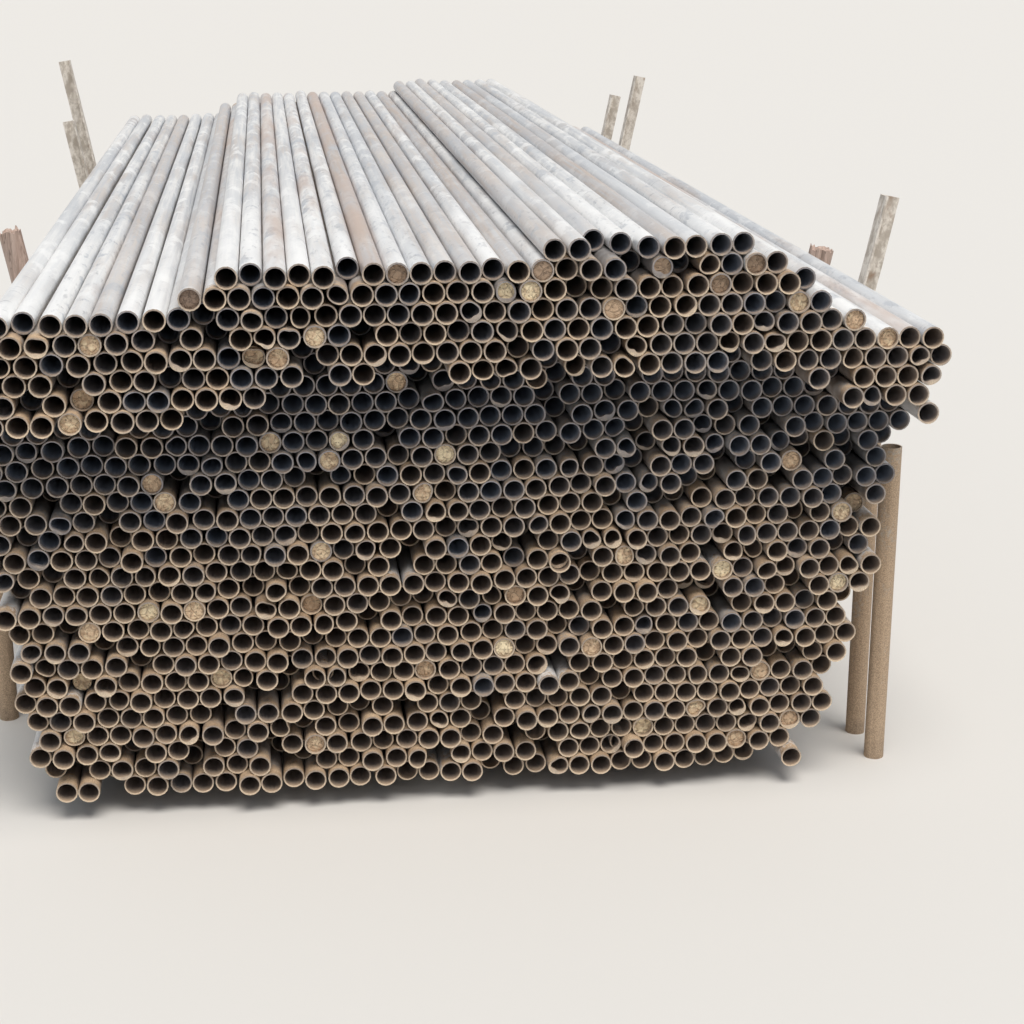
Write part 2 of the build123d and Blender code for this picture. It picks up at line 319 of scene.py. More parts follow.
@dataclass(frozen=True)
class GalvanisedTube:
    """Old zinc over steel: pale and patchy where rain reaches it, brown under cover, tan rims, dark bores, with
    painted shade on the rims' upper parts, in the deep bores and under the upper lift.
    """

    pale: Colour = (0.78, 0.77, 0.755, 1.0)
    blue: Colour = (0.44, 0.47, 0.515, 1.0)
    brown: Colour = (0.45, 0.37, 0.32, 1.0)
    slate: Colour = (0.20, 0.215, 0.245, 1.0)
    chalk: Colour = (0.95, 0.945, 0.935, 1.0)
    rust: Colour = (0.43, 0.31, 0.245, 1.0)
    covered: Colour = (0.20, 0.145, 0.105, 1.0)
    # grey-dark wall where soiling is low; under the upper lift it is painted shade
    grey_wall_and_painted_shade: Colour = (0.145, 0.138, 0.138, 1.0)
    dust: Colour = (0.60, 0.43, 0.275, 1.0)
    clay: Colour = (0.39, 0.265, 0.165, 1.0)
    rim: Colour = (0.84, 0.665, 0.475, 1.0)
    # grey rim where soiling is low; under the upper lift it is painted shade
    shaded_rim: Colour = (0.25, 0.23, 0.225, 1.0)
    # painted shade: the darker upper part of the rim, where light falls on it less
    painted_shade_on_rim: Colour = (0.25, 0.19, 0.145, 1.0)
    # painted shade hue: the blue-grey of the deep bore where soiling is low
    bore: Colour = (0.35, 0.38, 0.44, 1.0)
    muddy_bore: Colour = (0.35, 0.295, 0.26, 1.0)
    rim_reach: tuple[float, float] = (0.0009, 0.0035)
    lip_reach: float = 0.10
    # the tan reaches further in on the bore's lower side: mud lying there, and painted light on the lit lower inner
    # wall
    mouth_slant: float = 0.014
    mouth_reach: tuple[float, float] = (-0.012, 0.022)
    # the tube is paler towards its near end over this reach
    pale_reach: float = 1.7
    roughness: float = 0.36
    relief: float = 0.0004

    def make(self, effects: Effects) -> Material:
        """Builds the material."""
        f = Finish("galvanised_tube", effects)
        t = f.tree
        shift, mix, spot = f.mark("tube_shift"), f.mark("tube_mix"), f.mark("tube_place")
        own = t.add("ShaderNodeVectorMath", {0: f.place, 1: shift["Vector"]}, operation="ADD").outputs[0]
        tone, rusty, soil_less_painted_shade = t.add("ShaderNodeSeparateColor", {0: mix["Color"]}).outputs
        exposed = mix["Alpha"]
        along, in_bore, upward = t.add("ShaderNodeSeparateXYZ", {0: spot["Vector"]}).outputs
        near = t.maths("MINIMUM", along, t.maths("SUBTRACT", TUBE_LENGTH, along))
        metal = self.zinc(f, own, tone, rusty, along)
        # rust spreads in long patches
        more = t.span(rusty, 0.0, 1.0, -0.24, 0.16)
        rusting = f.patches(t.stretched(own, (1.0, 0.16, 1.0)), 9.0, 0.10, more)["Mask"]
        metal = t.blend(t.times(rusting, 0.75), metal, self.rust)
        # under cover the wall is brown with handling and old mud, and grey-dark where soiling is low, which under
        # the upper lift is painted shade
        mottle = t.noise(own, 18.0, 2.0)
        hidden = t.times(t.span(exposed, 0.0, 0.6, 1.0, 0.0), t.span(mottle, 0.3, 0.7, 0.62, 1.0))
        metal = t.blend(hidden, metal, t.blend(t.span(soil_less_painted_shade, 0.1, 0.6), self.grey_wall_and_painted_shade, self.covered))
        # the rim is tan, and grey where soiling is low; under the upper lift this grey is painted shade, and painted
        # shade also darkens its upper part
        on_rim = t.span(near, *self.rim_reach, 1.0, 0.0)
        crusted = t.plus(soil_less_painted_shade, t.span(t.noise(own, 55.0, 2.0), 0.3, 0.7, -0.3, 0.2))
        rim = t.blend(t.span(crusted, 0.0, 0.85), self.shaded_rim, self.rim)
        # painted shade: the rim's upper part turns darker
        rim = t.blend(t.span(upward, -0.5, 0.9, 0.0, 0.72), rim, self.painted_shade_on_rim)
        layer = t.blend(on_rim, t.blend(t.span(mottle, 0.35, 0.65), self.dust, self.clay), rim)
        # dust: thick on the rim, thinner on the first hand's breadth and on upper sides, and less where soiling is
        # low, which under the upper lift is painted shade
        lip = t.maths("POWER", t.span(near, 0.0, self.lip_reach, 1.0, 0.0), 1.3)
        amount = t.times(t.times(lip, t.span(upward, -0.4, 0.7, 0.2, 1.0)), t.span(soil_less_painted_shade, 0.2, 1.0, 0.30, 0.95))
        amount = t.times(amount, t.span(exposed, 0.3, 1.0, 1.0, 0.15))
        amount = t.plus(t.plus(amount, t.times(on_rim, 0.8)), t.span(exposed, 0.0, 1.0, 0.12, 0.06))
        dusty = f.dusted(own, amount, metal, self.roughness, layer)
        # the bore is tan with mud just inside the mouth, and further in on its lower side, partly painted light on
        # the lit lower inner wall; deeper in it is muddy where soiling is high and a painted blue-grey shade where
        # it is low
        inside = t.plus(near, t.times(upward, self.mouth_slant))
        deep = t.maths("POWER", t.span(inside, *self.mouth_reach), 0.75)
        dark = t.blend(t.span(soil_less_painted_shade, 0.2, 0.7), self.bore, self.muddy_bore)
        inner = t.blend(deep, t.blend(0.35, layer, self.clay), dark)
        colour = t.blend(in_bore, dusty["Colour"], inner)
        # only clean, bare zinc in the open still shines a little
        bare = t.times(t.maths("SUBTRACT", 1.0, rusting), t.maths("SUBTRACT", 1.0, in_bore))
        sheen = t.times(t.span(amount, 0.12, 0.5, 0.30, 0.0), t.span(exposed, 0.05, 0.5))
        return f.surface(colour, dusty["Roughness"], t.times(bare, sheen), t.noise(own, 170.0, 1.0), self.relief)

    def zinc(self, f: Finish, own: Socket, tone: Socket, rusty: Socket, along: Socket) -> Socket:
        """The bare metal's colour.

        Each tube leans to brown, pale or blue by its tone. Long cloudy shading and fine streaks run
        along it, then pale and dark patches where the skin has worn, and thin marks across it. The
        near third is paler. Tone and rusty are 0..1, one value for each tube; own is its pattern's
        coordinates and along the distance from its near end.
        """
        t = f.tree
        long_way = t.stretched(own, (1.0, 0.10, 1.0))
        base = t.blend(t.span(tone, 0.12, 0.28), self.brown, self.pale)
        base = t.blend(t.span(tone, 0.60, 0.90, 0.0, 0.6), base, self.blue)
        base = t.blend(t.span(t.noise(long_way, 12.0, 2.0, 0.6), 0.34, 0.58, 0.55, 0.0), base, self.blue)
        cloud = t.noise(long_way, 16.0, 2.0)
        base = t.blend(t.span(cloud, 0.50, 0.66, 0.0, 0.55), base, self.brown)
        streaks = t.noise(t.stretched(own, (1.0, 0.03, 1.0)), 85.0, 2.0, 0.7)
        base = t.blend(t.span(streaks, 0.36, 0.60, 0.62, 0.0), base, self.blue)
        # tubes of middle tone are the cleanest, and their near third is paler
        clean = t.times(t.span(tone, 0.14, 0.34, 0.25, 1.0), t.span(tone, 0.64, 0.86, 1.0, 0.5))
        paler_near = t.times(t.span(along, 0.0, self.pale_reach, 0.92, 0.0), t.span(cloud, 0.42, 0.66, 1.0, 0.45))
        base = t.blend(t.times(paler_near, clean), base, self.chalk)
        # one noise gives dark stains where it is high and chalky blooms where it is low
        stain = f.patches(t.stretched(own, (1.0, 0.40, 1.0)), 17.0, 0.03, -0.01)
        patchy = t.span(rusty, 0.08, 0.40, 0.15, 0.85)
        base = t.blend(t.times(stain["Mask"], patchy), base, self.blue)
        base = t.blend(t.times(t.span(stain["Noise"], 0.38, 0.46, 0.6, 0.0), clean), base, self.chalk)
        worn = f.patches(t.stretched(own, (1.0, 0.26, 1.0)), 62.0, 0.05, -0.02)["Mask"]
        base = t.blend(t.times(worn, t.times(patchy, 0.5)), base, self.slate)
        scores = f.scores(t.stretched(own, (0.3, 1.9, 0.3)), 13.0, 0.007, 0.62)
        return t.blend(t.times(scores, 0.55), base, t.blend(t.span(cloud, 0.48, 0.54), self.chalk, self.slate))


@dataclass(frozen=True)
class DriedMud:
    """Cracked mud, from cream to tan, with painted shade round its edge."""

    cream: Colour = (0.97, 0.80, 0.53, 1.0)
    tan: Colour = (0.64, 0.445, 0.285, 1.0)
    umber: Colour = (0.235, 0.165, 0.125, 1.0)
    crack_and_edge_shade: Colour = (0.10, 0.07, 0.05, 1.0)
    cells: float = 58.0
    roughness: float = 0.95
    relief: float = 0.0022

    def make(self, effects: Effects) -> Material:
        """Builds the material."""
        f = Finish("dried_mud", effects)
        t = f.tree
        tone, edge, _ = t.add("ShaderNodeSeparateColor", {0: f.mark("tube_mix")["Color"]}).outputs
        body = t.blend(t.span(tone, 0.05, 0.28), self.umber, self.tan)
        blotch = f.patches(f.place, 90.0, 0.16, t.span(tone, 0.0, 1.0, -0.26, 0.26))["Mask"]
        body = t.blend(blotch, body, self.cream)
        sockets = {"Vector": f.place, "Scale": self.cells, "Randomness": 1.0}
        cells = t.add("ShaderNodeTexVoronoi", sockets, feature="DISTANCE_TO_EDGE").outputs["Distance"]
        frayed = t.plus(cells, t.span(t.noise(f.place, 90.0), 0.3, 0.7, -0.06, 0.10))
        split = t.span(frayed, 0.0, 0.13, 1.0, 0.0)
        pits = f.patches(f.place, 150.0, 0.05, -0.02)["Mask"]
        colour = t.blend(t.times(pits, 0.45), body, self.crack_and_edge_shade)
        colour = t.blend(t.times(split, 0.22), colour, self.crack_and_edge_shade)
        # painted shade: the face darkens towards its edge, a shrinkage crack and the shade of the gap where the mud
        # meets the tube
        colour = t.blend(t.span(edge, 0.88, 1.0, 0.0, 0.35), colour, self.crack_and_edge_shade)
        relief = t.maths("SUBTRACT", t.noise(f.place, 210.0, 5.0), t.maths("MAXIMUM", split, pits))
        return f.surface(colour, self.roughness, 0.0, relief, self.relief)


@dataclass(frozen=True)
class MuddyPost:
    """A steel tube under a coat of splashed mud, thicker towards the ground."""

    steel: Colour = (0.37, 0.315, 0.255, 1.0)
    worn_steel: Colour = (0.47, 0.41, 0.34, 1.0)
    mud: Colour = (0.50, 0.36, 0.24, 1.0)
    wet: Colour = (0.27, 0.20, 0.14, 1.0)
    height: float = 0.775
    damp_reach: float = 0.09
    roughness: float = 0.55
    relief: float = 0.0009

    def make(self, effects: Effects) -> Material:
        """Builds the material."""
        f = Finish("muddy_post", effects)
        t = f.tree
        runs = t.stretched(f.place, (1.0, 1.0, 0.45))
        steel = t.blend(f.patches(runs, 24.0, 0.20, 0.08)["Mask"], self.steel, self.worn_steel)
        damp = t.times(f.rising(self.damp_reach, 0.8, 0.0), t.span(t.noise(f.place, 30.0), 0.3, 0.7))
        mud = t.blend(damp, self.mud, self.wet)
        splashed = t.span(t.noise(runs, 11.0), 0.3, 0.7, -0.22, 0.25)
        amount = t.plus(f.rising(self.height, 0.95, 0.52), splashed)
        coat = f.dusted(f.place, amount, steel, self.roughness, mud)
        relief = t.plus(coat["Height"], t.noise(f.place, 90.0, 5.0))
        return f.surface(coat["Colour"], coat["Roughness"], 0.0, relief, self.relief)


@dataclass(frozen=True)
class WeatheredAngle:
    """Rolled angle, mottled from pale grey to grey green, with brown runs."""

    pale: Colour = (0.82, 0.75, 0.665, 1.0)
    green: Colour = (0.50, 0.435, 0.365, 1.0)
    brown: Colour = (0.37, 0.26, 0.185, 1.0)
    dust: Colour = (0.55, 0.45, 0.34, 1.0)
    dusty_up_to: float = 0.8
    roughness: float = 0.62
    metallic: float = 0.1
    relief: float = 0.0007

    def make(self, effects: Effects) -> Material:
        """Builds the material."""
        f = Finish("weathered_angle", effects)
        t = f.tree
        runs = t.stretched(f.place, (1.0, 1.0, 0.6))
        body = t.blend(f.patches(runs, 46.0, 0.09, 0.10)["Mask"], self.green, self.pale)
        flecks = f.patches(f.place, 110.0, 0.05, 0.0)["Mask"]
        body = t.blend(t.times(flecks, 0.6), body, self.green)
        body = t.blend(f.patches(runs, 21.0, 0.07, -0.05)["Mask"], body, self.brown)
        coat = f.dusted(f.place, f.rising(self.dusty_up_to, 0.75, 0.18), body, self.roughness, self.dust)
        relief = t.plus(coat["Height"], t.noise(f.place, 150.0, 5.0))
        return f.surface(coat["Colour"], coat["Roughness"], self.metallic, relief, self.relief)


class Timber(Enum):
    """The two timbers: their names and the colours of their wood, grain and weathered skin."""

    BEARER = ("bearer_timber", (0.34, 0.26, 0.185, 1.0), (0.15, 0.105, 0.07, 1.0), (0.30, 0.275, 0.245, 1.0))
    STUMP = ("stump_timber", (0.64, 0.46, 0.375, 1.0), (0.29, 0.19, 0.145, 1.0), (0.62, 0.49, 0.415, 1.0))

    def make(self, effects: Effects) -> Material:
        """Builds the material: grain along the piece, dark checks and a weathered skin."""
        check, dust = (0.08, 0.055, 0.04, 1.0), (0.42, 0.33, 0.24, 1.0)
        dusty_up_to, roughness, depth = 0.35, 0.85, 0.0012
        name, wood, dark, skin = self.value
        f = Finish(name, effects)
        t = f.tree
        fibres = t.stretched(f.place, (0.06, 1.0, 1.0) if self is Timber.BEARER else (1.0, 1.0, 0.07))
        sockets = {"Vector": fibres, "Scale": 95.0, "Detail": 6.0, "Roughness": 0.7, "Distortion": 0.8}
        rings = t.add("ShaderNodeTexNoise", sockets).outputs[0]
        colour = t.blend(t.span(rings, 0.38, 0.66), dark, wood)
        worn = f.patches(fibres, 26.0, 0.16, 0.06)["Mask"]
        colour = t.blend(t.times(worn, 0.7), colour, skin)
        checks = f.scores(fibres, 70.0, 0.018, 0.55)
        colour = t.blend(t.times(checks, 0.6), colour, check)
        coat = f.dusted(f.place, f.rising(dusty_up_to, 0.5, 0.12), colour, roughness, dust)
        relief = t.maths("SUBTRACT", t.plus(rings, coat["Height"]), checks)
        return f.surface(coat["Colour"], coat["Roughness"], 0.0, relief, depth)


# Pieces: one small class for each kind, which reads its places from the CAD nodes.


def finish_piece(piece: Object, material: Material, node: str) -> None:
    """Gives a piece its material and its body, hides the CAD node that it stands for, and logs it."""
    piece.data.materials.append(material)
    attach(piece, ROOT)
    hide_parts(node)
    LOG.info("%s: %d faces, for %s", piece.name, len(piece.data.polygons), node)


@dataclass
class TubeRows:
    """The tubes, one piece for each layer, each tube a closed wall from end to end."""

    outer: float = 0.02415
    bore: float = 0.02095
    sides: int = 16
    worn_share: float = 0.22
    worn_below: float = 0.4
    dented_of_those: float = 0.62
    silted_of_those: float = 0.45
    dent_sides: int = 24
    dent_reach: float = 0.11
    dent_depth: tuple[float, float] = (0.002, 0.0085)
    dent_width: tuple[float, float] = (0.6, 1.25)
    second_depth: tuple[float, float] = (0.0, 0.004)
    second_off: tuple[float, float] = (1.6, 3.1)
    second_width: float = 0.8
    silt_reach: float = 0.055
    silt_depth: tuple[float, float] = (0.003, 0.011)
    silt_width: float = 0.75
    silt_lean: float = 0.35
    # how near a tube that rests on another is, how far above it, and beside it, in radii
    resting_within: float = 2.35
    resting_above: float = 0.6
    beside_within: float = 2.5
    lift_step: float = 0.06
    # how far down the painted shadow under the upper lift reaches
    painted_shadow_reach: float = 0.26
    rusty_share: float = 0.11
    rusty: tuple[float, float] = (0.6, 1.0)
    sound: tuple[float, float] = (0.0, 0.42)
    soil_at_floor: float = 0.95
    soil_lost_a_metre: float = 0.38
    soil_spread: float = 0.2
    # how much soiling the painted shadow under the upper lift takes away, which greys and darkens rims, walls and
    # bores there
    soil_lost_in_painted_shadow: float = 0.62
    pattern_reach: float = 40.0
    names: list[str] = field(default_factory=lambda: named("tube_layer"))

    def axes(self) -> list[Array]:
        """The (x, y, z) of every tube's near end, layer by layer."""
        layers = [flat_ends(name) for name in self.names]
        return [ends[ends[:, 1] < 0] for ends in layers]

    def exposure(self, tubes: Array) -> Array:
        """How open each tube is to the sky: 1, less a half for each tube that rests on it."""
        across = tubes[:, None, :] - tubes[None, :, :]
        apart = np.hypot(across[..., 0], across[..., 2])
        above = (apart < self.resting_within * self.outer) & (across[..., 2] < -self.resting_above * self.outer)
        return np.clip(1.0 - above.sum(1) / 2, 0.0, 1.0)

    def painted_lift_shadow(self, tubes: Array) -> Array:
        """How deep each tube sits in the painted shadow under the upper lift.

        The upper lift's near ends stand well forward. Under its lowest tube at the same place across,
        the painted shadow falls off as a bell curve of the distance down.
        """
        forward = tubes[:, 1] < tubes[:, 1].min() + self.lift_step
        upper, lower = tubes[forward], tubes[~forward]
        beside = np.abs(lower[:, None, 0] - upper[None, :, 0]) < self.beside_within * self.outer
        bottom = np.where(beside, upper[None, :, 2], np.inf).min(1)
        drop = np.clip(bottom - lower[:, 2], 0.0, None)
        lift_shadow = np.zeros(len(tubes))
        lift_shadow[~forward] = np.where(np.isfinite(bottom), np.exp(-((drop / self.painted_shadow_reach) ** 2)), 0.0)
        return lift_shadow

    def pressed(self, turn: Array, place: Array, bore: Array, rng: Rng) -> tuple[Array, Array]:
        """How far dents and silt bring the wall in, each for every tube, ring and side.

        A dent is a bell curve round the mouth, with a shallower one beside it, and fades with the
        square of the distance. Silt lifts the bore's lowest part in the same way, over a shorter reach.
        """
        one_each, lowest = (len(turn), 1), 0.75 * FULL_TURN
        shares = np.array([self.dented_of_those, self.silted_of_those])
        flat, silted = rng.random((2, *one_each)) < shares[:, None, None]
        face, wide = rng.uniform(0, FULL_TURN, one_each), rng.uniform(*self.dent_width, one_each)
        depth = flat * rng.uniform(*self.dent_depth, one_each) * self.bell(turn, face, wide)
        second = flat * rng.uniform(*self.second_depth, one_each)
        depth += second * self.bell(turn, face + rng.uniform(*self.second_off, one_each), self.second_width)
        dent = depth[:, None, :] * (np.clip(1 - place / self.dent_reach, 0, 1) ** 2)[None, :, None]
        lying = silted * rng.uniform(*self.silt_depth, one_each)
        lying = lying * self.bell(turn, lowest + rng.normal(0, self.silt_lean, one_each), self.silt_width)
        silt = lying[:, None, :] * (bore * np.clip(1 - place / self.silt_reach, 0, 1))[None, :, None]
        return dent, silt

    def walls(self, near: Array, marks: Array, shift: Array, dented: bool, rng: Rng) -> tuple[Array, Array, dict]:
        """The walls of several tubes at once: each point is the axis plus the ring's radius, turned about Y.

        Args:
            near: (n, 3) near ends.
            marks: (n, 4) tone, rust, soiling (less the painted shadow under the upper lift) and exposure.
            shift: (n, 3) offset of each tube's pattern.
            dented: whether these tubes have dented or silted mouths.
            rng: the source of the dents' places.

        Returns:
            Vertices, quads and the values on the vertices.
        """
        # the rings run out along the outer side and back through the bore
        stops = (0.0, 0.3 * self.dent_reach, self.dent_reach, TUBE_LENGTH) if dented else (0.0, TUBE_LENGTH)
        place, bore = np.array(stops + stops[::-1]), np.repeat([0.0, 1.0], len(stops))
        radius = np.where(bore > 0, self.bore, self.outer)
        count, rings, sides = len(near), len(radius), self.dent_sides if dented else self.sides
        turn = rng.uniform(0, FULL_TURN, count)[:, None] + around(sides)
        reach = np.broadcast_to(radius[None, :, None], (count, rings, sides)).copy()
        if dented:
            for depth in self.pressed(turn, place, bore, rng):
                reach -= depth
        angle = np.broadcast_to(turn[:, None, :], reach.shape)
        across, up = reach * np.cos(angle), reach * np.sin(angle)
        along = np.broadcast_to(place[None, :, None], reach.shape)
        points = np.stack([across, along, up], -1) + near[:, None, None, :]
        each = rings * sides
        quads = ring_faces(rings, sides, loops=True)[None] + (np.arange(count) * each)[:, None, None]
        spot = np.stack([along, np.broadcast_to(bore[None, :, None], reach.shape), up / self.outer], -1)
        values = {
            "tube_mix": np.repeat(marks, each, axis=0),
            "tube_shift": np.repeat(shift, each, axis=0),
            "tube_place": spot.reshape(-1, 3),
        }
        return points.reshape(-1, 3), quads.reshape(-1, 4), values

    @staticmethod
    def bell(turn: Array, middle: Array, wide: Array | float) -> Array:
        """A bell curve round the tube: 1 at the middle angle, down to 1/e where wide radians off."""
        off = np.abs((turn - middle + math.pi) % FULL_TURN - math.pi)
        return np.exp(-((off / wide) ** 2))

    def build(self, material: Material) -> None:
        """Makes a piece for each layer."""
        rng = np.random.default_rng(SEED)
        layers = self.axes()
        tubes = np.concatenate(layers)
        exposed, lift_shadow = self.exposure(tubes), self.painted_lift_shadow(tubes)
        done = 0
        for name, near in zip(self.names, layers):
            count = len(near)
            open_sky, in_lift_shadow = exposed[done:done + count], lift_shadow[done:done + count]
            done += count
            tone = rng.beta(2.0, 2.0, count)
            is_rusty = rng.random(count) < self.rusty_share
            rust = np.where(is_rusty, rng.uniform(*self.rusty, count), rng.uniform(*self.sound, count))
            soil_less_lift_shadow = self.soil_at_floor - self.soil_lost_a_metre * near[:, 2] + rng.normal(0, self.soil_spread, count)
            # painted shadow: soiling is taken away under the upper lift
            soil_less_lift_shadow = np.clip(soil_less_lift_shadow - self.soil_lost_in_painted_shadow * in_lift_shadow, 0.0, 1.0)
            marks = np.stack([tone, rust, soil_less_lift_shadow, open_sky], -1)
            shift = rng.uniform(-self.pattern_reach, self.pattern_reach, (count, 3))
            dented = (rng.random(count) < self.worn_share) & (open_sky < self.worn_below)
            made, start = [], 0
            for family in (False, True):
                pick = dented == family
                if pick.any():
                    points, quads, values = self.walls(near[pick], marks[pick], shift[pick], family, rng)
                    made.append((points, quads + start, values))
                    start += len(points)
            points, faces, values = zip(*made)
            joined = {key: np.concatenate([v[key] for v in values]) for key in values[0]}
            piece = mesh_piece(f"{name}_tubes", np.concatenate(points), faces, joined, smooth_within=38.0)
            finish_piece(piece, material, name)


@dataclass
class MudPlugs:
    """The dried mud that closes some mouths: crowned, cracked discs with a skirt."""

    radius: float = 0.0206
    depth: float = 0.045
    rings: int = 6
    sides: int = 20
    crown: float = 0.0022
    swell: tuple[float, float] = (-0.6, 1.0)
    lump: float = 0.0023
    lump_scale: float = 170.0
    smooth_rim: float = 0.7
    # the pale ones, as x and height above the lowest row
    pale: tuple[tuple[float, float], ...] = (
        (0.145, 1.113), (0.626, 0.482), (0.894, 0.425), (-0.674, 0.400), (0.117, 0.294), (-0.243, 0.777),
        (0.004, 0.749),
    )
    pale_within: float = 0.03
    pale_tone: tuple[float, float] = (0.9, 1.0)
    plain_tone: tuple[float, float] = (0.22, 0.85)
    sooty_tone: float = 0.25
    lowest_row: float = 0.0714
    sooty_above: float = 1.19

    def build(self, material: Material) -> None:
        """Makes one piece of all the plugs.

        The height of the face is a crown that falls with the square of the radius, plus unevenness.
        """
        ends = flat_ends("mud_plugs")
        order = np.lexsort((ends[:, 1], np.round(ends[:, 2], 5), np.round(ends[:, 0], 5)))
        near = ends[order][::2]
        rng = np.random.default_rng(SEED + 1)
        count, sides = len(near), self.sides
        share = np.linspace(0.0, 1.0, self.rings + 1)[1:]
        turn = around(sides)
        reach = self.radius * share[:, None] * np.ones(sides)
        flat = np.stack([reach * np.cos(turn), np.zeros_like(reach), reach * np.sin(turn)], -1)
        places = near[:, None, None, :] + flat[None]
        lump = waves(places, self.lump_scale, SEED + 2)
        swell = rng.uniform(*self.swell, (count, 1, 1))
        out = share[None, :, None]
        places[..., 1] -= self.crown * swell * (1 - out**2) + self.lump * lump * (1 - self.smooth_rim * out)
        skirt = places[:, -1].copy()
        skirt[..., 1] = near[:, None, 1] + self.depth
        middle = near[:, None, :] - np.array([0, 1, 0]) * (self.crown * swell)
        back = near[:, None, :] + np.array([0, self.depth, 0])
        block = np.concatenate([middle, places.reshape(count, -1, 3), skirt, back], axis=1)
        size = block.shape[1]
        starts = (np.arange(count) * size)[:, None, None]
        parts = (
            ring_faces(self.rings + 1, sides, loops=False) + 1,
            fan_faces(0, 1, sides),
            fan_faces(size - 1, 1 + self.rings * sides, sides, turned=True),
        )
        faces = [(part[None] + starts).reshape(-1, part.shape[1]) for part in parts]
        # the pale ones are the clearest in tone, and those in the soot the darkest
        seen = near[:, None, [0, 2]] - np.array(self.pale) - np.array([0.0, self.lowest_row])
        clear = np.hypot(seen[..., 0], seen[..., 1]).min(1) < self.pale_within
        plain = rng.uniform(*self.plain_tone, count) * np.where(near[:, 2] > self.sooty_above, self.sooty_tone, 1.0)
        tones = np.repeat(np.where(clear, rng.uniform(*self.pale_tone, count), plain), size)
        # the share of the radius, which the mud's material turns into painted shade at the edge
        edge = np.concatenate([[0.0], np.repeat(share, sides), np.ones(sides), [1.0]])
        marks = np.stack([tones, np.tile(edge, count), tones, np.ones(count * size)], -1)
        piece = mesh_piece("mud_in_mouths", block.reshape(-1, 3), faces, {"tube_mix": marks}, smooth_within=50.0)
        finish_piece(piece, material, "mud_plugs")


@dataclass
class Bearers:
    """Squared timbers under the stack: rounded arrises, wavy sawn faces, split ends."""

    arris: float = 0.005
    stations: int = 40
    points_a_side: int = 5
    wave_depth: float = 0.0022
    wave_scale: float = 22.0
    still_edge: float = 0.002

    def outline(self, width: float, height: float) -> Array:
        """The section as (n, 2) points, counter-clockwise, about the middle of its foot."""
        half, a = width / 2, self.arris
        right = np.array([(half - a, 0.0), (half, a), (half, height - a), (half - a, height)])
        ring = np.concatenate([right, right[::-1] * (-1, 1)])
        after = np.roll(ring, -1, axis=0)
        return np.concatenate([np.linspace(p, q, self.points_a_side, endpoint=False) for p, q in zip(ring, after)])

    def build(self, material: Material) -> None:
        """Makes one piece for each bearer.

        The outline is carried along X and closed at both ends. Smooth waves then move every point
        but those of the top and the underside, which stay flat.
        """
        for number, node in enumerate(named("bearer")):
            low, high = (np.array(c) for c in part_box(node))
            outline = self.outline(high[1] - low[1], high[2] - low[2])
            sides = len(outline)
            path = np.tile([low[0], (low[1] + high[1]) / 2, low[2]], (self.stations, 1))
            path[:, 0] = np.linspace(low[0], high[0], self.stations)
            flat = np.concatenate([np.zeros((sides, 1)), outline], axis=1)
            rings = (path[:, None, :] + flat[None]).reshape(-1, 3)
            points = np.concatenate([rings, path[[0, -1]] + flat.mean(0)])
            total = len(rings)
            faces = [
                ring_faces(self.stations, sides, loops=False)[:, ::-1],
                fan_faces(total, 0, sides, turned=True),
                fan_faces(total + 1, total - sides, sides),
            ]
            free = np.minimum(points[:, 2] - low[2], high[2] - points[:, 2]) > self.still_edge
            seed = SEED + 10 + 5 * number
            push = np.stack([waves(points, self.wave_scale, seed + axis) for axis in range(3)], -1) * self.wave_depth
            points = points + push * free[:, None]
            points[:, 2] = np.clip(points[:, 2], low[2], high[2])
            piece = mesh_piece(f"{node}_timber", points, faces, smooth_within=50.0)
            finish_piece(piece, material, node)


@dataclass
class Posts:
    """Upright round posts: hollow, with a coat of mud that thickens towards the foot."""

    wall: float = 0.0032
    sides: int = 40
    rings: int = 60
    coat: float = 0.0016
    coat_at_foot: float = 1.2
    thinnest: float = 0.35
    lump_scale: float = 9.0
    rim_round: float = 0.0012
    rim_drop: float = 0.0006
    collar: float = 0.02

    def build(self, material: Material) -> None:
        """Makes one piece for each post.

        The radius is the tube's, less unevenness, so that the mud never reaches past the solid.
        """
        for number, node in enumerate(named("post")):
            low, high = (np.array(c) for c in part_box(node))
            centre, radius, top = (low + high) / 2, (high[0] - low[0]) / 2, high[2]
            rise = np.linspace(low[2], top - self.rim_drop, self.rings)
            turn = around(self.sides)
            height, angle = np.meshgrid(rise, turn, indexing="ij")
            ring = np.stack([np.cos(angle), np.sin(angle), height * 0.25], -1)
            lumps = 0.5 + 0.5 * waves(ring * 0.5, self.lump_scale, SEED + 30 + number)
            outer = radius - self.coat * lumps * np.clip(self.coat_at_foot - height / top, self.thinnest, 1.0)
            inner = np.array([radius - self.rim_round] + [radius - self.wall] * 3)
            reach = np.concatenate([outer, inner[:, None] * np.ones(self.sides)])
            levels = np.concatenate([rise, [top, top - self.rim_drop / 2, top - self.collar, low[2]]])
            x = centre[0] + reach * np.cos(turn)
            y = centre[1] + reach * np.sin(turn)
            z = np.broadcast_to(levels[:, None], x.shape)
            points = np.stack([x, y, z], -1).reshape(-1, 3)
            faces = ring_faces(len(levels), self.sides, loops=True)[:, ::-1]
            piece = mesh_piece(f"{node}_muddy", points, [faces], smooth_within=45.0)
            finish_piece(piece, material, node)


